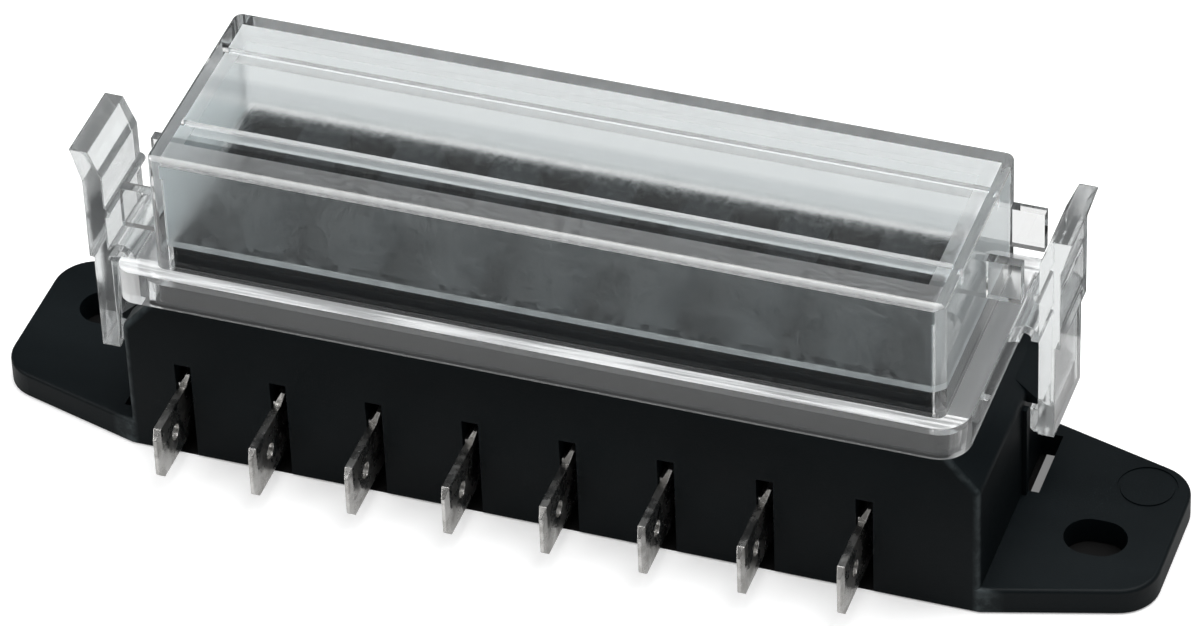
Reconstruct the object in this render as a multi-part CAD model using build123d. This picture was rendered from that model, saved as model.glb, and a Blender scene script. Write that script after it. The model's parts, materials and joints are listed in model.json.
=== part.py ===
from build123d import *
from math import cos, radians, sin, tan
import os

# An eight-way fuse box for blade fuses: a black moulded base with two fixing ears, sixteen
# stamped terminals with 6.3 mm tabs, and a clear cover held by two sprung clip levers.
# Millimetres. X runs along the row of fuses, Y from front to back, Z up.
# The origin is the middle of the underside. Front and back are alike by a half turn about Z.

# Row of fuses
ways = 8
pitch = 10.5
bay_width = 5.4
bay_length = 19.8
bay_depth = 3.8
blade_setback = 2.95
blade_slot_width = 1.4
blade_slot_length = 5.8

# Fuse carrier around the bays, and the plinth it stands on
carrier_end_wall = 1.05
carrier_side_wall = 1.35
carrier_height = 6.3
carrier_corner = 0.8
plinth_height = 2.3
plinth_corner = 1.8

# Clear cover
fit_gap = 0.3
cover_wall = 1.2
cover_top = 1.4
block_height = 14.4
block_corner = 1.0
block_inner_corner = 0.4
block_edge_round = 0.5
ceiling_chamfer = 1.6
ledge_length = 2.4
ledge_width = 1.55
ledge_thickness = 1.4
skirt_height = 4.0
skirt_wall = 1.2
skirt_corner = 3.3
rib_offset = 5.6
rib_thickness = 0.9
rib_depth = 1.5

# Base body
body_height = 19.6
body_end_margin = 1.6
skirt_overhang = 0.5
body_corner = 0.7
end_chamfer_run = 3.4
end_chamfer_drop = 4.0
end_ridge_round = 1.0
outer_wall = 1.6
partition_wall = 1.2
spine_wall = 1.6
deck_thickness = 1.6
upper_cell_width = 5.2
upper_cell_wall = 1.15

# Fixing ears
ear_thickness = 2.9
ear_reach = 16.6
ear_taper = 16.0
ear_corner = 4.5
ear_edge_round = 0.4
hole_setout = 9.0
hole_y = 2.7
hole_width = 5.4
hole_length = 6.6
ejector_mark_setout = 12.0
ejector_mark_y = 6.3
ejector_mark_radius = 3.15
ejector_mark_groove = 0.35
ejector_mark_depth = 0.15

# Terminals
sheet = 0.8
tab_height = 6.3
tab_reach = 7.5
tab_bottom = 2.3
tab_offset = 3.2
tab_tip_chamfer = 0.9
tab_tip_bevel = 0.22
tab_hole_radius = 0.9
tab_hole_from_tip = 4.4
stem_setback = 0.4
nose_height = 1.9
nose_lean = 0.6
web_height = 10.2
bend_radius = 1.0
jaw_length = 5.0
jaw_spread = 1.4
jaw_pinch = 0.55
jaw_pinch_drop = 2.4
jaw_mouth = 1.15
jaw_top_gap = 0.3
slot_side_gap = 0.1
slot_width = 1.8
slot_height = 11.9

# Catches on the ends of the base, each over a recess between two guide ribs
catch_width = 8.0
catch_reach = 1.2
catch_drop = 5.4
catch_nose = 0.6
catch_ramp_run = 2.4
relief_side_gap = 0.3
relief_depth = 0.8
relief_reach = 1.6
guide_reach = 0.5
guide_thickness = 0.8

# Clip levers
lever_width = 9.8
lever_gap = 0.3
lever_upper_thickness = 2.2
lever_leg_thickness = 1.7
lever_step_drop = 1.0
pad_top_drop = 1.7
pad_outer_height = 3.9
pad_inner_height = 3.1
pad_lean = 1.3
pad_thickness = 2.0
flange_thickness = 0.7
flange_top_reach = 1.0
flange_foot_reach = 0.2
hook_bite = 0.6
hook_gap = 0.2
hook_height = 3.0
hook_lead = 0.4
hook_front_setback = 0.3
hook_back_setback = 1.2
bead_radius = 0.6
bead_rise = 5.1

# Flexing arch that joins a lever to the cover, with its root bead in a groove
squeeze_angle = 10.0
hinge_inset = 0.2
hinge_drop = 0.7
hinge_radius = 0.45
hinge_clearance = 0.05
arch_thickness = 0.9
arch_gap = 0.2
arch_sink = 0.1
arch_foot = 0.3
arch_rise = 0.5

# Corner lugs on the cover's skirt, one beside the outer edge of each clip lever
lug_width = 2.25
lug_gap = 0.25
lug_reach = 1.6
lug_corner = 1.9

# Stop ribs on the ends of the cover, one near each edge of a clip lever
stop_rib_thickness = 1.2
stop_rib_height = 4.8
stop_rib_drop = 5.6
stop_clearance = 0.2

# Sizes that follow from the ones above, from the row of fuses outwards
way_places = [pitch * (k - (ways - 1) / 2) for k in range(ways)]
carrier_half_length = way_places[-1] + bay_width / 2 + carrier_end_wall
carrier_half_width = bay_length / 2 + carrier_side_wall
blade_offset = bay_length / 2 - blade_setback
block_half_length = carrier_half_length + fit_gap + cover_wall
block_half_width = carrier_half_width + fit_gap + cover_wall
skirt_half_length = block_half_length + ledge_length
skirt_half_width = block_half_width + ledge_width
body_half_length = skirt_half_length + body_end_margin
body_half_width = skirt_half_width - skirt_overhang
plinth_half_length = body_half_length - end_chamfer_run - fit_gap
plinth_half_width = skirt_half_width - skirt_wall - fit_gap
ear_half_length = body_half_length + ear_reach

cover_floor = body_height + skirt_height
cover_height = cover_floor + block_height
carrier_top = body_height + carrier_height
bay_floor = carrier_top - bay_depth
deck_underside = bay_floor - deck_thickness
lower_cell_top = body_height - deck_thickness
cell_width = pitch - partition_wall

tab_top = tab_bottom + tab_height
tab_tip_y = -body_half_width - tab_reach
stem_y = stem_setback - body_half_width
web_end = web_height + 2 * bend_radius
jaw_top = deck_underside - jaw_top_gap
jaw_pinch_height = jaw_top - jaw_pinch_drop

catch_tip = body_half_length + catch_reach
catch_underside = body_height - catch_drop
relief_half_width = lever_width / 2 - relief_side_gap
lever_y = skirt_half_width - lug_width - lug_gap - lever_width / 2
lever_inner_x = catch_tip + lever_gap
lever_step_height = cover_floor - lever_step_drop
hook_tip = catch_tip - hook_bite
hook_top = catch_underside - hook_gap
lever_foot = hook_top - hook_height
pad_top = cover_height - pad_top_drop
hinge_x = skirt_half_length + hinge_inset
hinge_z = cover_floor - hinge_drop
stop_rib_top = cover_height - stop_rib_drop
half_turn = Rot(0, 0, 180)


def block(x0, x1, y0, y1, z0, z1):
    """A box from its six limits."""
    middle = Pos((x0 + x1) / 2, (y0 + y1) / 2, (z0 + z1) / 2)
    return middle * Box(x1 - x0, y1 - y0, z1 - z0)


def rounded_block(half_length, half_width, radius, z0, z1):
    """A box about the Z axis with rounded upright corners."""
    outline = RectangleRounded(2 * half_length, 2 * half_width, radius)
    return Pos(0, 0, z0) * extrude(outline, z1 - z0)


def both_ends(piece):
    """A piece on the right-hand end and its half-turned twin on the left-hand end."""
    return [piece, half_turn * piece]


def extrude_profile(points, y0, y1):
    """A closed outline in the XZ plane, extruded from y0 to y1."""
    outline = make_face(Polyline([(x, y0, z) for x, z in points], close=True))
    return extrude(outline, y1 - y0, dir=(0, 1, 0))


def base_body():
    """The body's outside: a long block whose ends are chamfered under the cover."""
    top_half = body_half_length - end_chamfer_run
    shoulder = body_height - end_chamfer_drop
    outline = [
        (-body_half_length, 0),
        (body_half_length, 0),
        (body_half_length, shoulder),
        (top_half, body_height),
        (-top_half, body_height),
        (-body_half_length, shoulder),
    ]
    body = extrude_profile(outline, -body_half_width, body_half_width)
    ridges = body.edges().filter_by(Axis.Y).filter_by(lambda e: abs(e.center().Z - shoulder) < 0.1)
    body = fillet(ridges, end_ridge_round)
    ends = body.edges().filter_by(lambda e: abs(e.center().X) > top_half)
    corners = ends.filter_by(lambda e: abs(e.center().Y) > body_half_width / 2)
    return fillet(corners, body_corner)


def ear():
    """The right-hand ear, with its slotted hole."""
    root_half = body_half_width
    tip_half = root_half - ear_reach * tan(radians(ear_taper))
    inner_x = body_half_length - body_corner
    outline = Polyline(
        [
            (inner_x, -root_half),
            (body_half_length, -root_half),
            (ear_half_length, -tip_half),
            (ear_half_length, tip_half),
            (body_half_length, root_half),
            (inner_x, root_half),
        ],
        close=True,
    )
    plate = extrude(make_face(outline), ear_thickness)
    tips = plate.edges().filter_by(Axis.Z).sort_by(Axis.X)[-2:]
    plate = fillet(tips, ear_corner)
    rim = plate.faces().sort_by(Axis.Z)[-1].edges()
    rim = rim.filter_by(lambda e: e.center().X > body_half_length)
    plate = fillet(rim, ear_edge_round)
    hole = extrude(SlotOverall(hole_length, hole_width), ear_thickness)
    return plate - Pos(body_half_length + hole_setout, -hole_y, 0) * hole


def ejector_mark():
    """The round mark on the right-hand ear, a shallow ring."""
    ring = Circle(ejector_mark_radius) - Circle(ejector_mark_radius - ejector_mark_groove)
    x = body_half_length + ejector_mark_setout
    place = Pos(x, ejector_mark_y, ear_thickness - ejector_mark_depth)
    return place * extrude(ring, ejector_mark_depth)


def catch():
    """The right-hand catch: a wedge on the end of the body that a lever's hook goes under."""
    nose_top = catch_underside + catch_nose
    slope = end_chamfer_drop / end_chamfer_run
    ramp_x = catch_tip - catch_ramp_run
    ramp_z = body_height - slope * (ramp_x - body_half_length + end_chamfer_run)
    outline = [
        (ramp_x, catch_underside),
        (catch_tip, catch_underside),
        (catch_tip, nose_top),
        (ramp_x, ramp_z),
    ]
    return extrude_profile(outline, lever_y - catch_width / 2, lever_y + catch_width / 2)


def catch_relief():
    """The space below a catch: a recess in the end wall and a slot through the ear's root."""
    return block(
        body_half_length - relief_depth,
        body_half_length + relief_reach,
        lever_y - relief_half_width,
        lever_y + relief_half_width,
        0,
        catch_underside,
    )


def guide_rib(side):
    """An upright rib beside the recess below a catch, on its front (-1) or back (+1)."""
    y = lever_y + side * (relief_half_width + guide_thickness / 2)
    return block(
        body_half_length - relief_depth,
        body_half_length + guide_reach,
        y - guide_thickness / 2,
        y + guide_thickness / 2,
        0,
        catch_underside,
    )


def front_cell(x):
    """The space for one front terminal, open at the underside, and its slot in the wall."""
    back = -spine_wall / 2
    lower = block(
        x - cell_width / 2, x + cell_width / 2, outer_wall - body_half_width, back, 0, lower_cell_top
    )
    upper = block(
        x - upper_cell_width / 2,
        x + upper_cell_width / 2,
        upper_cell_wall - carrier_half_width,
        back,
        0,
        deck_underside,
    )
    slot_left = x - tab_offset - sheet / 2 - slot_side_gap
    slot = block(slot_left, slot_left + slot_width, -body_half_width, back, 0, slot_height)
    blade_slot = Pos(x, -blade_offset, 0) * block(
        -blade_slot_width / 2,
        blade_slot_width / 2,
        -blade_slot_length / 2,
        blade_slot_length / 2,
        deck_underside - deck_thickness,
        bay_floor,
    )
    return [lower, upper, slot, blade_slot]


def fuse_bay(x):
    """The shallow seat that a fuse's body stands in."""
    return block(
        x - bay_width / 2, x + bay_width / 2, -bay_length / 2, bay_length / 2, bay_floor, carrier_top
    )


def make_base():
    """The black moulding: body, plinth, fuse carrier, ears and catches, less its hollows."""
    base = base_body()
    base += rounded_block(
        plinth_half_length, plinth_half_width, plinth_corner, body_height, body_height + plinth_height
    )
    base += rounded_block(
        carrier_half_length, carrier_half_width, carrier_corner, body_height, carrier_top
    )
    base += both_ends(ear())
    base += both_ends(catch())
    for side in (-1, 1):
        base += both_ends(guide_rib(side))
    base -= ejector_mark()
    base -= both_ends(catch_relief())
    hollows = []
    for x in way_places:
        hollows += [fuse_bay(x)]
        for space in front_cell(x):
            hollows += both_ends(space)
    return base - hollows


def terminal_tab():
    """The 6.3 mm tab of a front terminal, with its tapered tip and its hole, for a way at x = 0."""
    shoulder_y = tab_tip_y + tab_tip_chamfer
    side = [
        (tab_tip_y, tab_bottom + tab_tip_chamfer),
        (shoulder_y, tab_bottom),
        (stem_y, tab_bottom),
        (stem_y, tab_top),
        (shoulder_y, tab_top),
        (tab_tip_y, tab_top - tab_tip_chamfer),
    ]
    side_face = make_face(Polyline([(0, y, z) for y, z in side], close=True))
    tip_half = sheet / 2 - tab_tip_bevel
    plan = [
        (-tip_half, tab_tip_y),
        (tip_half, tab_tip_y),
        (sheet / 2, shoulder_y),
        (sheet / 2, stem_y),
        (-sheet / 2, stem_y),
        (-sheet / 2, shoulder_y),
    ]
    plan_face = make_face(Polyline(plan, close=True))
    tab = extrude(side_face, sheet, dir=(1, 0, 0), both=True) & extrude(plan_face, tab_top)
    hole = Cylinder(tab_hole_radius, 2 * sheet, rotation=(0, 90, 0))
    return tab - Pos(0, tab_tip_y + tab_hole_from_tip, tab_bottom + tab_height / 2) * hole


def terminal_strip():
    """The bent strip inside the cell: stem, web and the far jaw, in the XZ plane."""
    lead = FilletPolyline(
        (-tab_offset, tab_bottom),
        (-tab_offset, web_height),
        (jaw_spread, web_height),
        (jaw_spread, web_end),
        radius=bend_radius,
    )
    jaw = Polyline((jaw_spread, web_end), (jaw_pinch, jaw_pinch_height), (jaw_mouth, jaw_top))
    return trace(lead, sheet) + trace(jaw, sheet)


def near_jaw():
    """The jaw that is folded up from the web, in the XZ plane."""
    line = Polyline(
        (-jaw_spread, web_height),
        (-jaw_spread, web_end),
        (-jaw_pinch, jaw_pinch_height),
        (-jaw_mouth, jaw_top),
    )
    return trace(line, sheet)


def make_terminal():
    """One stamped terminal of the front row, for a way at x = 0."""
    profile = terminal_strip() + near_jaw()
    standing = Plane.XZ * profile
    jaws = extrude(standing, jaw_length / 2, both=True)
    jaws = Pos(0, -blade_offset, 0) * jaws
    stem = block(-sheet / 2, sheet / 2, stem_y, -blade_offset, tab_bottom, web_height - bend_radius)
    nose = [
        (-sheet / 2, tab_bottom),
        (sheet / 2, tab_bottom),
        (sheet / 2, tab_top),
        (sheet / 2 + nose_lean, tab_top + nose_height),
        (nose_lean, tab_top + nose_height),
        (-sheet / 2, tab_top),
    ]
    nose = extrude_profile(nose, stem_y, -blade_offset - jaw_length / 2)
    return Pos(-tab_offset, 0, 0) * (terminal_tab() + stem + nose) + jaws


def block_space():
    """The space inside the raised block, with its chamfered ceiling."""
    half_length = block_half_length - cover_wall
    half_width = block_half_width - cover_wall
    ceiling = cover_height - cover_top
    walls = rounded_block(half_length, half_width, block_inner_corner, body_height, ceiling)
    roof = block(-half_length, half_length, -half_width, half_width, body_height, ceiling)
    roof = chamfer(roof.faces().sort_by(Axis.Z)[-1].edges(), ceiling_chamfer)
    return walls & roof


def skirt_lug():
    """The lug at the back corner of the skirt's right-hand end, beside the clip lever."""
    lug = block(
        skirt_half_length - skirt_corner,
        skirt_half_length + lug_reach,
        skirt_half_width - lug_width,
        skirt_half_width,
        body_height,
        cover_floor,
    )
    outer = lug.edges().filter_by(Axis.Z).sort_by(lambda e: e.center().X + e.center().Y)[-1]
    return fillet(outer, lug_corner)


def cover_shell():
    """The cover's skirt, ledge and raised block, hollow from below."""
    skirt = rounded_block(
        skirt_half_length, skirt_half_width, skirt_corner, body_height, cover_floor
    )
    raised = rounded_block(
        block_half_length, block_half_width, block_corner, body_height, cover_height
    )
    raised = fillet(raised.faces().sort_by(Axis.Z)[-1].edges(), block_edge_round)
    skirt_space = rounded_block(
        skirt_half_length - skirt_wall,
        skirt_half_width - skirt_wall,
        skirt_corner - skirt_wall,
        body_height,
        cover_floor - ledge_thickness,
    )
    return skirt + raised + both_ends(skirt_lug()) - skirt_space - block_space()


def top_rib(y):
    """One of the two ribs under the cover's top that keep the fuses down."""
    ceiling = cover_height - cover_top
    inside = block_half_length - cover_wall
    return block(
        -inside, inside, y - rib_thickness / 2, y + rib_thickness / 2, ceiling - rib_depth, ceiling
    )


def stop_rib(y):
    """An upright plate on the right-hand end that a squeezed lever stops at."""
    angle = radians(squeeze_angle)
    from_hinge = lever_inner_x - hinge_x
    above_hinge = stop_rib_top - hinge_z
    squeezed_x = hinge_x + from_hinge * cos(angle) - above_hinge * sin(angle)
    return block(
        block_half_length - cover_wall / 2,
        squeezed_x - stop_clearance,
        y - stop_rib_thickness / 2,
        y + stop_rib_thickness / 2,
        stop_rib_top - stop_rib_height,
        stop_rib_top,
    )


def hinge_groove():
    """The groove in the skirt's end that holds the root bead of a lever's arch."""
    groove = Cylinder(hinge_radius + hinge_clearance, lever_width + fit_gap, rotation=(90, 0, 0))
    return Pos(hinge_x, lever_y, hinge_z) * groove


def make_cover():
    """The clear cover with its inner ribs, stop ribs and hinge grooves."""
    cover = cover_shell()
    cover += [top_rib(rib_offset), top_rib(-rib_offset)]
    edge = (lever_width - stop_rib_thickness) / 2
    for y in (lever_y - edge, lever_y + edge):
        cover += both_ends(stop_rib(y))
    return cover - both_ends(hinge_groove())


def lever_arch():
    """The thin arch between a lever and the cover, with its root bead."""
    left_x = skirt_half_length + arch_gap + arch_thickness / 2
    right_x = lever_inner_x + arch_sink - arch_thickness / 2
    spring = hinge_z + arch_rise
    radius = (right_x - left_x) / 2
    crown = ((left_x + right_x) / 2, spring + radius)
    line = Polyline((left_x, hinge_z - arch_foot), (left_x, spring))
    line += ThreePointArc((left_x, spring), crown, (right_x, spring))
    line += Polyline((right_x, spring), (right_x, spring - arch_foot))
    strip = trace(line, arch_thickness)
    bead = Pos(hinge_x, hinge_z) * Circle(hinge_radius)
    return strip + bead


def lever_outline():
    """The side outline of the right-hand lever without its hook: leg, plate and leaning pad."""
    inner = lever_inner_x
    outer = inner + lever_upper_thickness
    leg = inner + lever_leg_thickness
    points = [
        (inner, lever_foot),
        (leg, lever_foot),
        (leg, lever_step_height),
        (outer, lever_step_height),
        (outer, pad_top - pad_outer_height),
        (inner + pad_lean + pad_thickness, pad_top),
        (inner + pad_lean, pad_top),
        (inner, pad_top - pad_inner_height),
    ]
    return make_face(Polyline(points, close=True))


def lever_hook():
    """The hook at the foot of the right-hand lever, narrower than the lever."""
    outline = [
        (lever_inner_x + lever_leg_thickness / 2, lever_foot),
        (lever_inner_x + lever_leg_thickness / 2, hook_top),
        (hook_tip, hook_top),
        (hook_tip, lever_foot + hook_lead),
        (hook_tip + hook_lead, lever_foot),
    ]
    half = lever_width / 2
    return extrude_profile(outline, lever_y + hook_front_setback - half, lever_y + half - hook_back_setback)


def lever_flange():
    """The flange along the outer edge of the right-hand lever's leg, facing the cover."""
    outline = [
        (lever_inner_x + lever_leg_thickness / 2, lever_foot),
        (lever_inner_x - flange_foot_reach, lever_foot),
        (lever_inner_x - flange_top_reach, lever_step_height),
        (lever_inner_x + lever_leg_thickness / 2, lever_step_height),
    ]
    edge = lever_y + lever_width / 2
    return extrude_profile(outline, edge - flange_thickness, edge)


def make_lever():
    """The right-hand clip lever with its hook, its flange, its arch and its grip bead."""
    bead = Pos(lever_inner_x, cover_floor + bead_rise) * Circle(bead_radius)
    profile = lever_outline() + lever_arch() + bead
    lever = extrude(Plane.XZ * profile, lever_width / 2, both=True)
    return Pos(0, lever_y, 0) * lever + lever_hook() + lever_flange()


def save(name, piece):
    """Write one piece as one STEP file."""
    piece.label = name
    export_step(piece, f"parts/{name}.step")


def main():
    """Build every piece in place and write it."""
    os.makedirs("parts", exist_ok=True)
    save("base", make_base())
    save("cover", make_cover())
    lever = make_lever()
    save("clip_lever_right", lever)
    save("clip_lever_left", half_turn * lever)
    terminal = make_terminal()
    for number, x in enumerate(way_places, start=1):
        save(f"terminal_front_{number}", Pos(x, 0, 0) * terminal)
        save(f"terminal_rear_{number}", Pos(x, 0, 0) * half_turn * terminal)


main()
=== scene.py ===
import json
from math import cos, pi, radians, sin

import bpy
from mathutils import Matrix, Vector

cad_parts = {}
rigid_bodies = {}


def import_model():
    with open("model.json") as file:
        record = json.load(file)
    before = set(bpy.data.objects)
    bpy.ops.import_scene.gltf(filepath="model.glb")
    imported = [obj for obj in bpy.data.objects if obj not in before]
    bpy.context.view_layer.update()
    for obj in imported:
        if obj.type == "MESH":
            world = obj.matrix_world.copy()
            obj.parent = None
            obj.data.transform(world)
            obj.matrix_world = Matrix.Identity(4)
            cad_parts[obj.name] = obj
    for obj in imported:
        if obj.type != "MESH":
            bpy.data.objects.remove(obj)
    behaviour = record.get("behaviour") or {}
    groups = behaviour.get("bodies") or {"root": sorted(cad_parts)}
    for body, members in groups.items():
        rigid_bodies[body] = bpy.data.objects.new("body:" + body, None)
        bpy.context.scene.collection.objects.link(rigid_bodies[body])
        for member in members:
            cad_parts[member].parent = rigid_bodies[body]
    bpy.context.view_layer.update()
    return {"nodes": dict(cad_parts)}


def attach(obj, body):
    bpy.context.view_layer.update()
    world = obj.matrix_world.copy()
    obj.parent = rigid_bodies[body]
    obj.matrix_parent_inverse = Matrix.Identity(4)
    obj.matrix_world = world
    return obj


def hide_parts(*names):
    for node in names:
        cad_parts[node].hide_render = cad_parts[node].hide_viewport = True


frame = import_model()

# All lengths are in metres. A space is a block about the Z axis: how far it goes either way in x
# and in y, then z from and to.

# The photograph's view, in degrees, pixels of 1200 and metres
AZIMUTH = 20.42
ELEVATION = 39.58
ROLL = -2.485
FOCAL_PIXELS = 6718
EYE_RIGHT = 0.000829
EYE_UP = 0.013355
EYE_BACK = 0.6994
SENSOR_WIDTH = 36.0
PHOTO_WIDTH = 1200

# The spaces inside the cover that its mould left frosted, and those left out of them or within
# them that look different
FROSTED = (0.0414, 0.01215, 0.0263, 0.0373)
CEILING = (0.0414, 0.01215, 0.03655, 0.0373)
MIDDLE = (0.0393, 0.00895, 0.0300, 0.0373)
RIBS = (0.0406, 0.0080, 0.0300, 0.03655)
LONG_WALLS = (0.0406, 0.01215, 0.0263, 0.0373)
# A thin band low on the walls, cloudier as a painted highlight line
PAINTED_HIGHLIGHT_LINE = (0.0414, 0.01215, 0.0263, 0.0271)
# A band just above it, mottled clearer and cloudier at random
MOTTLED_BAND = (0.0400, 0.01215, 0.0271, 0.0280)

# The spaces around the cover's outside: the skirt, the ledge above it and the block's corners
SKIRT = (0.0500, 0.0150, 0.0190, 0.02355)
BETWEEN_CORNERS = (0.0432, 0.0150, 0.0190, 0.02355)
LEDGE = (0.0500, 0.0150, 0.02355, 0.02365)
LEDGE_END = (0.0500, 0.0118, 0.02355, 0.02365)
POSTS = (0.0428, 0.0133, 0.0240, 0.0374)

# How far out along the diagonal, as x times y, the corner posts and the corner lugs begin
POST_DIAGONAL = 0.00053
LUG_DIAGONAL = 0.00052

# The crest above the block's front wall, made cloudier as a painted highlight
CREST_Y = -0.0122
CREST_Z = 0.0376

# Soft patches of painted light and shade stand in for the bays of the fuses behind the frosted walls,
# this far apart and this strong
PITCH = 0.0105
PAINTED_BAYS_STRENGTH = 0.10

# How clear each place of the cover is, where 1 is clear and 0 is white
CLEAR_MIDDLE = 0.99
CLEAR_ENDS = 0.80
CLEAR_RIBS = 0.70
CLEAR_SKIRT = 0.925
CLEAR_LEDGE_END = 0.93
CLEAR_LEDGE_MIRRORED = 0.97
CLEAR_POSTS = 0.72
CLEAR_LUGS = 0.42
# The crest is cloudier, as a painted highlight along it
CREST_HIGHLIGHT_CLEAR = 0.70
LEDGE_ROUGHNESS = 0.3

# The tints of the clear plastic; the last two are painted shade, not tints of the plastic
CLEAR = (0.955, 0.96, 0.958)
COOL = (0.87, 0.94, 0.955)
LIGHT_PAINTED_SHADE = (0.63, 0.65, 0.66)
DEEP_PAINTED_SHADE = (0.22, 0.25, 0.26)

# The tints across the ceiling, from y = -BANDS_HALF at 0 to y = +BANDS_HALF at 1: light and then
# deep painted shade before the front rib, cool over the fuses, and a band of light painted shade towards
# the back
BANDS_HALF = 0.01
BANDS = [
    (0.0, LIGHT_PAINTED_SHADE),
    (1.0, CLEAR),
    (0.050, LIGHT_PAINTED_SHADE),
    (0.058, DEEP_PAINTED_SHADE),
    (0.088, DEEP_PAINTED_SHADE),
    (0.10, COOL),
    (0.40, COOL),
    (0.47, CLEAR),
    (0.545, LIGHT_PAINTED_SHADE),
    (0.60, LIGHT_PAINTED_SHADE),
    (0.66, CLEAR),
]

# What lamps lose through the cover and through the thicker levers
COVER_SHADOW = (0.86, 0.87, 0.88)
LEVER_SHADOW = (0.84, 0.85, 0.86)
LEVER_TINT = (0.90, 0.92, 0.92)
PLASTIC_IOR = 1.5

# Black nylon, darker and paler along its flow marks, and lighter at the rims of the body's ends, worn and
# with a painted highlight
BLACK = (0.0018, 0.0036, 0.0046)
PALER_BLACK = (0.0040, 0.0068, 0.0082)
RIM_WEAR_AND_HIGHLIGHT_BLACK = (0.045, 0.055, 0.058)

# Where those rims begin and are full: across, along, and on the end slopes as x plus SLOPE times z
RIM_Y = (0.0131, 0.0136)
RIM_X = (0.0452, 0.0458)
RIM_SLOPE = (0.0583, 0.0591)
SLOPE = 0.85

# Tin plate, in duller and brighter patches
DULL_TIN = (0.46, 0.45, 0.43)
BRIGHT_TIN = (0.80, 0.79, 0.77)

# Where the photograph's cover differs inside from the solid: its ceiling meets the walls in a
# sharp corner, and its ribs are shallower and the rear one further back
INNER_X = 0.0408
INNER_Y = 0.01155
CEILING_Z = 0.0366
CHAMFER_LEG = 0.0016
RIB_Y = 0.0056
RIB_HALF = 0.00045
RIB_FOOT_Z = 0.0351
RIB_LIFT = 0.0004
REAR_RIB_SHIFT = 0.0014

# How far the cutters reach past the faces that they cut, and how near a vertex counts as there
SKIN = 0.00001
NEAR = 0.00005

# The surround's strength as light on the object and as seen mirrored in it
WORLD_LIGHT = 0.5
WORLD_MIRRORED = 0.11

# The share of the white surround that shows through clear plastic, level and from further up, and
# the heights of the line of sight between which it falls
SEEN_THROUGH = 0.72
SKY_THROUGH = 0.22
SKY_FROM = 0.1
SKY_TO = 0.4

# The floor's half width and its depth below the part, and its brightness and glow where it is
# seen, and where it lights or mirrors in the object
FLOOR_HALF = 3.0
FLOOR_DROP = 0.0002
FLOOR_SEEN = 0.93
FLOOR_GLOW = 0.2
FLOOR_LIGHT = 0.30
FLOOR_MIRRORED = 0.04
NEAR_FLOOR_MIRRORED = 0.55
NEAR_FLOOR = (0.0800, 0.0310, -1.0, 1.0)

# The floor in front of the part, seen through clear plastic, and the y between which it changes
FRONT_FLOOR_THROUGH = 0.18
FRONT_FLOOR_FROM = -0.035
FRONT_FLOOR_TO = -0.025

# The floor has painted shadow, dark below the body and below the ears' screw holes, and dim below the
# ears' slots
UNDER_BODY = (0.0458, 0.0136, -1.0, 1.0)
UNDER_EARS = (0.0600, 0.0070, -1.0, 1.0)
BETWEEN_EARS = (0.0500, 0.0070, -1.0, 1.0)
UNDER_SLOTS = (0.0500, 0.0120, -1.0, 1.0)
FLOOR_PAINTED_SHADOW = 0.01
FLOOR_DIM_PAINTED_SHADOW = 0.05


def material(name):
    """A new node material: the material, its tree's nodes, its links and its shader."""
    made = bpy.data.materials.new(name)
    made.use_nodes = True
    nodes = made.node_tree.nodes
    return made, nodes, made.node_tree.links, nodes["Principled BSDF"]


def noise(nodes, links, scale, detail=3.0, roughness=0.5, stretch=None):
    """Noise in the part's own metres, stretched along an axis if asked."""
    place = nodes.new("ShaderNodeTexCoord").outputs["Object"]
    if stretch:
        mapping = nodes.new("ShaderNodeMapping")
        mapping.inputs["Scale"].default_value = stretch
        links.new(place, mapping.inputs["Vector"])
        place = mapping.outputs["Vector"]
    texture = nodes.new("ShaderNodeTexNoise")
    texture.inputs["Scale"].default_value = scale
    texture.inputs["Detail"].default_value = detail
    texture.inputs["Roughness"].default_value = roughness
    links.new(place, texture.inputs["Vector"])
    return texture.outputs["Fac"]


def axes_of(nodes, links, coordinates="Object"):
    """The X, Y and Z of a texture coordinate, as sockets."""
    place = nodes.new("ShaderNodeTexCoord").outputs[coordinates]
    axes = nodes.new("ShaderNodeSeparateXYZ")
    links.new(place, axes.inputs["Vector"])
    return axes.outputs["X"], axes.outputs["Y"], axes.outputs["Z"]


def put(links, value, socket):
    """Set a socket to a number or a colour, or link another socket to it."""
    if isinstance(value, (int, float)):
        socket.default_value = value
    elif isinstance(value, tuple):
        socket.default_value = (*value, 1)
    else:
        links.new(value, socket)


def compute(nodes, links, operation, first, second=0.0):
    """One step of arithmetic on two sockets, or on a socket and a number."""
    node = nodes.new("ShaderNodeMath")
    node.operation = operation
    put(links, first, node.inputs[0])
    put(links, second, node.inputs[1])
    return node.outputs["Value"]


def blend(nodes, links, mask, first, second):
    """A number that is the first where the mask is 0 and the second where it is 1."""
    node = nodes.new("ShaderNodeMix")
    links.new(mask, node.inputs["Factor"])
    put(links, first, node.inputs["A"])
    put(links, second, node.inputs["B"])
    return node.outputs["Result"]


def tint_between(nodes, links, mask, first, second):
    """A colour that is the first where the mask is 0 and the second where it is 1."""
    node = nodes.new("ShaderNodeMix")
    node.data_type = "RGBA"
    links.new(mask, node.inputs["Factor"])
    put(links, first, node.inputs["A"])
    put(links, second, node.inputs["B"])
    return node.outputs["Result"]


def remap(nodes, links, value, low, high, start=0.0, stop=1.0):
    """A value from start..stop mapped to low..high."""
    span = nodes.new("ShaderNodeMapRange")
    span.inputs["From Min"].default_value = start
    span.inputs["From Max"].default_value = stop
    span.inputs["To Min"].default_value = low
    span.inputs["To Max"].default_value = high
    links.new(value, span.inputs["Value"])
    return span.outputs["Result"]


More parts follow.
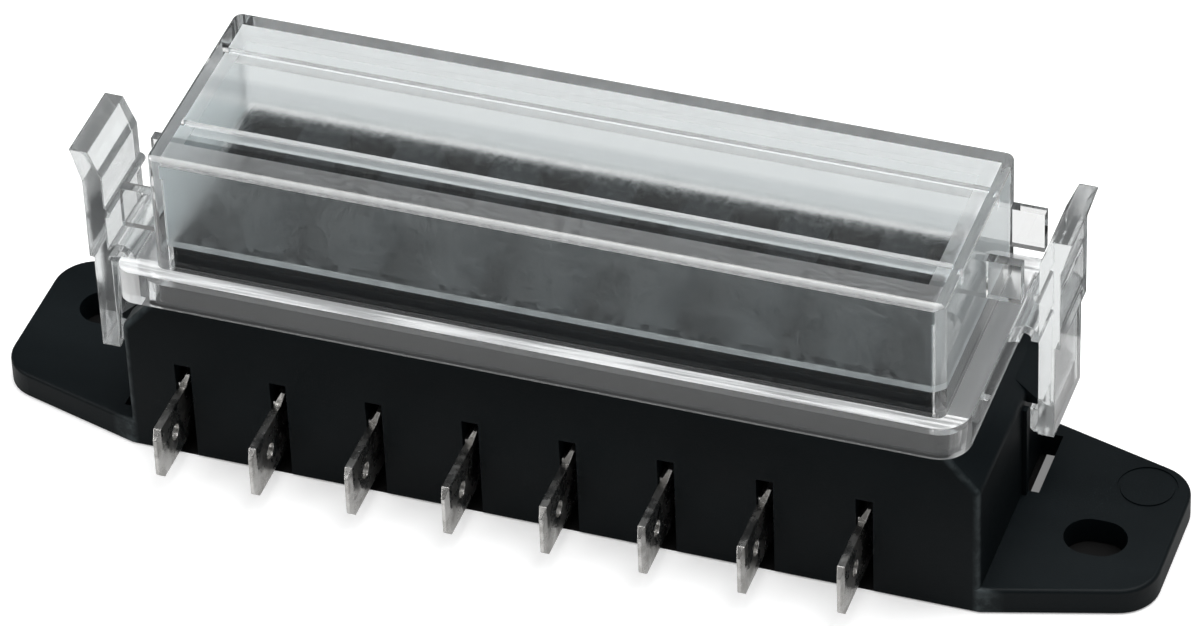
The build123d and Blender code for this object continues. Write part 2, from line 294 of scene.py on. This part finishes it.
def ramp(nodes, links, value, stops):
    """A colour ramp with (position, colour) stops, of which the first two are placed first."""
    made = nodes.new("ShaderNodeValToRGB")
    elements = made.color_ramp.elements
    for index, (position, colour) in enumerate(stops):
        element = elements[index] if index < 2 else elements.new(position)
        element.position = position
        element.color = (*colour, 1)
    links.new(value, made.inputs["Fac"])
    return made.outputs["Color"]


def bump(nodes, links, shader, heights, round_edges=0.0):
    """Chained bumps: (height socket, distance in metres, strength), over edges that look round."""
    normal = None
    if round_edges:
        bevel = nodes.new("ShaderNodeBevel")
        bevel.samples = 6
        bevel.inputs["Radius"].default_value = round_edges
        normal = bevel.outputs["Normal"]
    for height, distance, strength in heights:
        node = nodes.new("ShaderNodeBump")
        node.inputs["Distance"].default_value = distance
        node.inputs["Strength"].default_value = strength
        links.new(height, node.inputs["Height"])
        if normal:
            links.new(normal, node.inputs["Normal"])
        normal = node.outputs["Normal"]
    links.new(normal, shader.inputs["Normal"])


def within(nodes, links, space):
    """1 inside a space, 0 outside it."""
    half_x, half_y, bottom, top = space
    x, y, z = axes_of(nodes, links)
    mask = compute(nodes, links, "LESS_THAN", compute(nodes, links, "ABSOLUTE", x), half_x)
    for test in (
        compute(nodes, links, "LESS_THAN", compute(nodes, links, "ABSOLUTE", y), half_y),
        compute(nodes, links, "GREATER_THAN", z, bottom),
        compute(nodes, links, "LESS_THAN", z, top),
    ):
        mask = compute(nodes, links, "MULTIPLY", mask, test)
    return mask


def without(nodes, links, mask, left_out):
    """One mask less another."""
    return compute(nodes, links, "MULTIPLY", mask, compute(nodes, links, "SUBTRACT", 1.0, left_out))


def end_rims(nodes, links):
    """1 along the rims of the body's end faces and of the slopes above them, else 0."""
    x, y, z = axes_of(nodes, links)
    along = compute(nodes, links, "ABSOLUTE", x)
    across = compute(nodes, links, "ABSOLUTE", y)
    outward = compute(nodes, links, "ADD", along, compute(nodes, links, "MULTIPLY", z, SLOPE))
    end = remap(nodes, links, along, 0.0, 1.0, *RIM_X)
    slope = remap(nodes, links, outward, 0.0, 1.0, *RIM_SLOPE)
    side = remap(nodes, links, across, 0.0, 1.0, *RIM_Y)
    return compute(nodes, links, "MULTIPLY", side, compute(nodes, links, "MAXIMUM", end, slope))


def black_plastic():
    """Moulded black nylon with a fine spark-eroded grain, faint flow marks, and rims that are worn and
    lighter from a painted highlight.
    """
    made, nodes, links, shader = material("black_plastic")
    grain = noise(nodes, links, 5200, detail=2.0)
    flow = noise(nodes, links, 130, detail=4.0, stretch=(0.35, 1, 1))
    colour = ramp(nodes, links, flow, [(0.3, BLACK), (0.75, PALER_BLACK)])
    rim_breakup = remap(nodes, links, noise(nodes, links, 700, roughness=0.6), 0.35, 1.0, 0.4, 0.6)
    # The rims of the ends: worn, and lighter from a painted highlight
    worn_and_lit_rims = compute(nodes, links, "MULTIPLY", end_rims(nodes, links), rim_breakup)
    colour = tint_between(nodes, links, worn_and_lit_rims, colour, RIM_WEAR_AND_HIGHLIGHT_BLACK)
    links.new(colour, shader.inputs["Base Color"])
    rough = remap(nodes, links, flow, 0.42, 0.54, 0.3, 0.7)
    links.new(rough, shader.inputs["Roughness"])
    shader.inputs["Specular IOR Level"].default_value = 0.13
    bump(nodes, links, shader, [(grain, 0.00003, 0.5), (flow, 0.0001, 0.2)])
    return made


def let_lamps_through(nodes, links, shader, colour):
    """Shadow rays pass a clear material, so that what lies below it is lit."""
    lamp_pass = nodes.new("ShaderNodeBsdfTransparent")
    lamp_pass.inputs["Color"].default_value = (*colour, 1)
    path = nodes.new("ShaderNodeLightPath")
    mix = nodes.new("ShaderNodeMixShader")
    links.new(path.outputs["Is Shadow Ray"], mix.inputs["Fac"])
    links.new(shader.outputs["BSDF"], mix.inputs[1])
    links.new(lamp_pass.outputs["BSDF"], mix.inputs[2])
    links.new(mix.outputs["Shader"], nodes["Material Output"].inputs["Surface"])


def clearness_inside(nodes, links, frosting, ceiling, middle, ribs):
    """How clear the inside of the raised block is, 1 everywhere else, with painted light and shade for
    the fuse bays and a painted highlight line low on the walls.
    """
    cloud = noise(nodes, links, 260, detail=4.0, roughness=0.6)
    turns = compute(nodes, links, "MULTIPLY", axes_of(nodes, links)[0], 2 * pi / PITCH)
    # Painted light and shade repeating at the fuse bays' pitch
    bays = compute(nodes, links, "MULTIPLY", compute(nodes, links, "COSINE", turns), PAINTED_BAYS_STRENGTH)
    patches = compute(nodes, links, "ADD", cloud, bays)
    mottle = noise(nodes, links, 1300, detail=3.0, roughness=0.6, stretch=(0.8, 1, 0.6))
    dashes = noise(nodes, links, 2600, detail=2.0, stretch=(0.4, 1, 1))
    ends = without(nodes, links, frosting, within(nodes, links, LONG_WALLS))
    clear = 1.0
    for mask, value in (
        (frosting, remap(nodes, links, patches, 0.965, 0.915, 0.38, 0.62)),
        (within(nodes, links, MOTTLED_BAND), remap(nodes, links, mottle, 0.92, 0.995, 0.45, 0.55)),
        (ceiling, remap(nodes, links, dashes, 0.93, 1.0, 0.42, 0.58)),
        (middle, CLEAR_MIDDLE),
        (ends, CLEAR_ENDS),
        (ribs, CLEAR_RIBS),
        # A thin band low on the walls, cloudier as a painted highlight line
        (within(nodes, links, PAINTED_HIGHLIGHT_LINE), remap(nodes, links, cloud, 0.40, 0.62, 0.38, 0.62)),
    ):
        clear = blend(nodes, links, mask, clear, value)
    return clear


def clearness_outside(nodes, links, clear, ledge):
    """The same with the skirt, the ledge, the corner posts, the corner lugs and the crest; the ledge and
    the crest are cloudier as painted highlights.
    """
    x, y, z = axes_of(nodes, links)
    lines = noise(nodes, links, 2200, detail=2.0, stretch=(0.03, 1, 1))
    painted_highlight_streaks = remap(nodes, links, lines, 0.35, 0.80, 0.4, 0.6)
    mirrored = nodes.new("ShaderNodeLightPath").outputs["Is Glossy Ray"]
    diagonal = compute(nodes, links, "MULTIPLY", x, y)
    outer = compute(nodes, links, "ABSOLUTE", diagonal)
    posts = compute(nodes, links, "GREATER_THAN", outer, POST_DIAGONAL)
    skirt = within(nodes, links, SKIRT)
    lugs = compute(nodes, links, "GREATER_THAN", diagonal, LUG_DIAGONAL)
    lugs = compute(nodes, links, "MULTIPLY", lugs, skirt)
    front = compute(nodes, links, "LESS_THAN", y, CREST_Y)
    crest = compute(nodes, links, "GREATER_THAN", z, CREST_Z)
    for mask, value in (
        (skirt, CLEAR_SKIRT),
        # The ledge, cloudy in streaks as a painted highlight, and clearer where mirrored
        (ledge, blend(nodes, links, mirrored, painted_highlight_streaks, CLEAR_LEDGE_MIRRORED)),
        (within(nodes, links, LEDGE_END), CLEAR_LEDGE_END),
        (compute(nodes, links, "MULTIPLY", posts, within(nodes, links, POSTS)), CLEAR_POSTS),
        (without(nodes, links, lugs, within(nodes, links, BETWEEN_CORNERS)), CLEAR_LUGS),
        # The crest, cloudier as a painted highlight
        (compute(nodes, links, "MULTIPLY", front, crest), CREST_HIGHLIGHT_CLEAR),
    ):
        clear = blend(nodes, links, mask, clear, value)
    return clear


def cover_plastic():
    """Clear polycarbonate: polished outside, frosted by its mould inside the raised block, with painted
    shade and highlights in its tint and cloudiness.
    """
    made, nodes, links, shader = material("cover_plastic")
    shader.inputs["IOR"].default_value = PLASTIC_IOR
    ripple = noise(nodes, links, 45, detail=2.0, stretch=(0.5, 1, 1))
    grain = noise(nodes, links, 1600, detail=3.0, roughness=0.6)
    ribs = within(nodes, links, RIBS)
    frosting = without(nodes, links, within(nodes, links, FROSTED), ribs)
    ceiling = within(nodes, links, CEILING)
    middle = compute(nodes, links, "MULTIPLY", ceiling, within(nodes, links, MIDDLE))
    ledge = within(nodes, links, LEDGE)
    rough = remap(nodes, links, ripple, 0.02, 0.05, 0.3, 0.7)
    for mask, value in (
        (frosting, remap(nodes, links, grain, 0.38, 0.48, 0.35, 0.65)),
        (middle, remap(nodes, links, grain, 0.10, 0.17, 0.35, 0.65)),
        (ledge, LEDGE_ROUGHNESS),
    ):
        rough = blend(nodes, links, mask, rough, value)
    links.new(rough, shader.inputs["Roughness"])
    clear = clearness_inside(nodes, links, frosting, ceiling, middle, ribs)
    clear = clearness_outside(nodes, links, clear, ledge)
    links.new(clear, shader.inputs["Transmission Weight"])
    y = axes_of(nodes, links)[1]
    bands = ramp(nodes, links, remap(nodes, links, y, 0.0, 1.0, -BANDS_HALF, BANDS_HALF), BANDS)
    walls = ramp(nodes, links, frosting, [(0.0, CLEAR), (1.0, COOL)])
    links.new(tint_between(nodes, links, ceiling, walls, bands), shader.inputs["Base Color"])
    hairs = noise(nodes, links, 1500, detail=2.0, stretch=(1, 0.3, 1))
    hairs = compute(nodes, links, "MULTIPLY", hairs, middle)
    bump(nodes, links, shader, [(ripple, 0.0002, 0.06), (hairs, 0.00004, 0.25)])
    let_lamps_through(nodes, links, shader, COVER_SHADOW)
    return made


def lever_plastic():
    """The same plastic in the clip levers, where it is thicker and duller from its mould."""
    made, nodes, links, shader = material("lever_plastic")
    shader.inputs["Base Color"].default_value = (*LEVER_TINT, 1)
    shader.inputs["IOR"].default_value = PLASTIC_IOR
    shader.inputs["Transmission Weight"].default_value = 0.95
    cloud = noise(nodes, links, 300, detail=3.0)
    links.new(remap(nodes, links, cloud, 0.05, 0.16, 0.35, 0.65), shader.inputs["Roughness"])
    ripple = noise(nodes, links, 110, detail=1.0)
    bump(nodes, links, shader, [(ripple, 0.0003, 0.10)], round_edges=0.00025)
    let_lamps_through(nodes, links, shader, LEVER_SHADOW)
    return made


def tinned_brass():
    """Tin-plated brass sheet: bright, with rolling streaks and duller patches."""
    made, nodes, links, shader = material("tinned_brass")
    shader.inputs["Metallic"].default_value = 1.0
    streak = noise(nodes, links, 900, detail=3.0, stretch=(1, 0.12, 1))
    patch = noise(nodes, links, 420, detail=4.0, roughness=0.6)
    dents = noise(nodes, links, 700, detail=1.0)
    colour = ramp(nodes, links, patch, [(0.32, DULL_TIN), (0.62, BRIGHT_TIN)])
    links.new(colour, shader.inputs["Base Color"])
    links.new(remap(nodes, links, patch, 0.36, 0.18, 0.35, 0.65), shader.inputs["Roughness"])
    heights = [(streak, 0.00004, 0.4), (patch, 0.00008, 0.25), (dents, 0.0002, 0.5)]
    bump(nodes, links, shader, heights, round_edges=0.00012)
    return made


def cutter(name, low, high):
    """A box between two corners, to cut with."""
    corners = [(x, y, z) for x in (low[0], high[0]) for y in (low[1], high[1]) for z in (low[2], high[2])]
    faces = [(0, 1, 3, 2), (4, 6, 7, 5), (0, 4, 5, 1), (2, 3, 7, 6), (0, 2, 6, 4), (1, 5, 7, 3)]
    mesh = bpy.data.meshes.new(name)
    mesh.from_pydata(corners, [], faces)
    return bpy.data.objects.new(name, mesh)


def move_ribs(mesh):
    """Raise the feet of both ceiling ribs, and move the rear rib back."""
    for vertex in mesh.vertices:
        place = vertex.co
        if abs(abs(place.y) - RIB_Y) < RIB_HALF + NEAR and place.z > RIB_FOOT_Z - NEAR:
            if place.z < RIB_FOOT_Z + NEAR:
                place.z += RIB_LIFT
            if place.y > 0:
                place.y += REAR_RIB_SHIFT


def chamfer_boxes():
    """The corners of the boxes that hold the ceiling chamfer, which stop at the ribs."""
    bottom = CEILING_Z - CHAMFER_LEG - SKIN
    top = CEILING_Z + SKIN
    inner_x = INNER_X - CHAMFER_LEG - SKIN
    inner_y = INNER_Y - CHAMFER_LEG - SKIN
    front_rib = -RIB_Y
    rear_rib = RIB_Y + REAR_RIB_SHIFT
    spans = [
        (-inner_y, front_rib - RIB_HALF),
        (front_rib + RIB_HALF, rear_rib - RIB_HALF),
        (rear_rib + RIB_HALF, inner_y),
    ]
    boxes = []
    for side in (-1, 1):
        near, far = sorted((side * inner_y, side * (INNER_Y + SKIN)))
        boxes.append(((-INNER_X - SKIN, near, bottom), (INNER_X + SKIN, far, top)))
        left, right = sorted((side * inner_x, side * (INNER_X + SKIN)))
        for start, stop in spans:
            boxes.append(((left, start - SKIN, bottom), (right, stop + SKIN, top)))
    return boxes


def sharp_cover():
    """The cover without its ceiling chamfer, with its ribs where the photograph has them."""
    cad = frame["nodes"]["cover"]
    cover = bpy.data.objects.new("cover_clear", cad.data.copy())
    cover.matrix_world = cad.matrix_world
    move_ribs(cover.data)
    scene_objects = bpy.context.scene.collection.objects
    scene_objects.link(cover)
    cutters = []
    for index, (low, high) in enumerate(chamfer_boxes()):
        box = cutter(f"cutter_{index}", low, high)
        scene_objects.link(box)
        cutters.append(box)
        cut = cover.modifiers.new(box.name, "BOOLEAN")
        cut.operation = "DIFFERENCE"
        cut.solver = "EXACT"
        cut.object = box
    evaluated = cover.evaluated_get(bpy.context.evaluated_depsgraph_get())
    shaped = bpy.data.meshes.new_from_object(evaluated)
    cover.modifiers.clear()
    cover.data = shaped
    for box in cutters:
        bpy.data.objects.remove(box)
    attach(cover, "cover")
    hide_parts("cover")
    return cover


def dress():
    """Give every node, and the cover that stands in for one, its material."""
    black, clear, levers, brass = black_plastic(), cover_plastic(), lever_plastic(), tinned_brass()
    cover = sharp_cover()
    for name, piece in {**frame["nodes"], cover.name: cover}.items():
        if name == "base":
            look = black
        elif name.startswith("cover"):
            look = clear
        elif name.startswith("clip_lever"):
            look = levers
        else:
            look = brass
        piece.data.materials.clear()
        piece.data.materials.append(look)


def floor_tone(nodes, links, path):
    """The floor's brightness for each kind of ray, and where it has painted shadow."""
    near = within(nodes, links, NEAR_FLOOR)
    y = axes_of(nodes, links)[1]
    through = remap(
        nodes,
        links,
        y,
        FRONT_FLOOR_THROUGH,
        FLOOR_SEEN * SEEN_THROUGH,
        FRONT_FLOOR_FROM,
        FRONT_FLOOR_TO,
    )
    tone = blend(nodes, links, near, FLOOR_MIRRORED, NEAR_FLOOR_MIRRORED)
    for ray, value in (
        ("Is Diffuse Ray", FLOOR_LIGHT),
        ("Is Transmission Ray", through),
        ("Is Camera Ray", FLOOR_SEEN),
    ):
        tone = blend(nodes, links, path.outputs[ray], tone, value)
    under_body = within(nodes, links, UNDER_BODY)
    ears = without(
        nodes, links, within(nodes, links, UNDER_EARS), within(nodes, links, BETWEEN_EARS)
    )
    # Painted shadow below the body and the ears' screw holes, and dimmer painted shadow below the slots
    painted_shadow = compute(nodes, links, "MAXIMUM", ears, under_body)
    slots = without(nodes, links, within(nodes, links, UNDER_SLOTS), under_body)
    tone = blend(nodes, links, painted_shadow, tone, FLOOR_PAINTED_SHADOW)
    tone = blend(nodes, links, slots, tone, FLOOR_DIM_PAINTED_SHADOW)
    return tone, painted_shadow


def stage_floor():
    """A white floor that keeps the object's soft shadow, with painted shadow below the body and the ears.
    """
    mesh = bpy.data.meshes.new("floor")
    corners = [(x * FLOOR_HALF, y * FLOOR_HALF, 0) for x, y in ((-1, -1), (1, -1), (1, 1), (-1, 1))]
    mesh.from_pydata(corners, [], [(0, 1, 2, 3)])
    floor = bpy.data.objects.new("floor", mesh)
    bpy.context.scene.collection.objects.link(floor)
    floor.location.z = -FLOOR_DROP
    made, nodes, links, shader = material("floor")
    path = nodes.new("ShaderNodeLightPath")
    tone, painted_shadow = floor_tone(nodes, links, path)
    grey = nodes.new("ShaderNodeCombineColor")
    for channel in ("Red", "Green", "Blue"):
        links.new(tone, grey.inputs[channel])
    links.new(grey.outputs["Color"], shader.inputs["Base Color"])
    shader.inputs["Roughness"].default_value = 0.9
    shader.inputs["Specular IOR Level"].default_value = 0.0
    shader.inputs["Emission Color"].default_value = (1, 1, 1, 1)
    glow = compute(nodes, links, "MULTIPLY", path.outputs["Is Camera Ray"], FLOOR_GLOW)
    glow = blend(nodes, links, painted_shadow, glow, 0.0)
    links.new(glow, shader.inputs["Emission Strength"])
    mesh.materials.append(made)


def stage_world():
    """A pale surround: white where it is seen, dimmer where it lights or mirrors in the object."""
    world = bpy.data.worlds.new("studio")
    bpy.context.scene.world = world
    world.use_nodes = True
    nodes = world.node_tree.nodes
    links = world.node_tree.links
    background = nodes["Background"]
    background.inputs["Color"].default_value = (1, 1, 1, 1)
    path = nodes.new("ShaderNodeLightPath")
    height = axes_of(nodes, links, "Generated")[2]
    through = remap(nodes, links, height, SEEN_THROUGH, SKY_THROUGH, SKY_FROM, SKY_TO)
    strength = remap(nodes, links, path.outputs["Is Glossy Ray"], WORLD_LIGHT, WORLD_MIRRORED)
    strength = blend(nodes, links, path.outputs["Is Transmission Ray"], strength, through)
    strength = blend(nodes, links, path.outputs["Is Camera Ray"], strength, 1.0)
    links.new(strength, background.inputs["Strength"])


def facing(azimuth, elevation):
    """The direction from the part towards a viewer or a lamp, in degrees from the front."""
    a, e = radians(azimuth), radians(elevation)
    return Vector((sin(a) * cos(e), -cos(a) * cos(e), sin(e)))


def soft_box(name, azimuth, elevation, distance, width, power, target=(0, 0, 0.02)):
    """A square area lamp that looks at the target from a compass direction."""
    back = facing(azimuth, elevation)
    lamp = bpy.data.lights.new(name, "AREA")
    lamp.shape = "RECTANGLE"
    lamp.size = width
    lamp.size_y = width
    lamp.energy = power
    box = bpy.data.objects.new(name, lamp)
    box.location = Vector(target) + back * distance
    box.rotation_euler = back.to_track_quat("Z", "Y").to_euler()
    bpy.context.scene.collection.objects.link(box)


def stage_lamps():
    """A large softbox overhead and a weak one at the camera's left."""
    soft_box("top", azimuth=120, elevation=80, distance=0.9, width=0.8, power=9.0)
    soft_box("fill", azimuth=-60, elevation=35, distance=1.1, width=0.7, power=4.0)


def stage_camera():
    """The photograph's viewpoint."""
    a, e, roll = radians(AZIMUTH), radians(ELEVATION), radians(ROLL)
    right = Vector((cos(a), sin(a), 0))
    up = Vector((-sin(a) * sin(e), cos(a) * sin(e), cos(e)))
    back = facing(AZIMUTH, ELEVATION)
    turned_right = right * cos(roll) + up * sin(roll)
    turned_up = up * cos(roll) - right * sin(roll)
    lens = bpy.data.cameras.new("camera")
    lens.sensor_width = SENSOR_WIDTH
    lens.sensor_fit = "HORIZONTAL"
    lens.lens = FOCAL_PIXELS / PHOTO_WIDTH * SENSOR_WIDTH
    lens.clip_start = 0.01
    lens.clip_end = 20
    camera = bpy.data.objects.new("camera", lens)
    axes = Matrix((turned_right, turned_up, back)).transposed().to_4x4()
    eye = turned_right * EYE_RIGHT + turned_up * EYE_UP + back * EYE_BACK
    camera.matrix_world = Matrix.Translation(eye) @ axes
    bpy.context.scene.collection.objects.link(camera)
    bpy.context.scene.camera = camera


dress()
stage_floor()
stage_world()
stage_lamps()
stage_camera()
bpy.context.scene.view_settings.view_transform = "Standard"
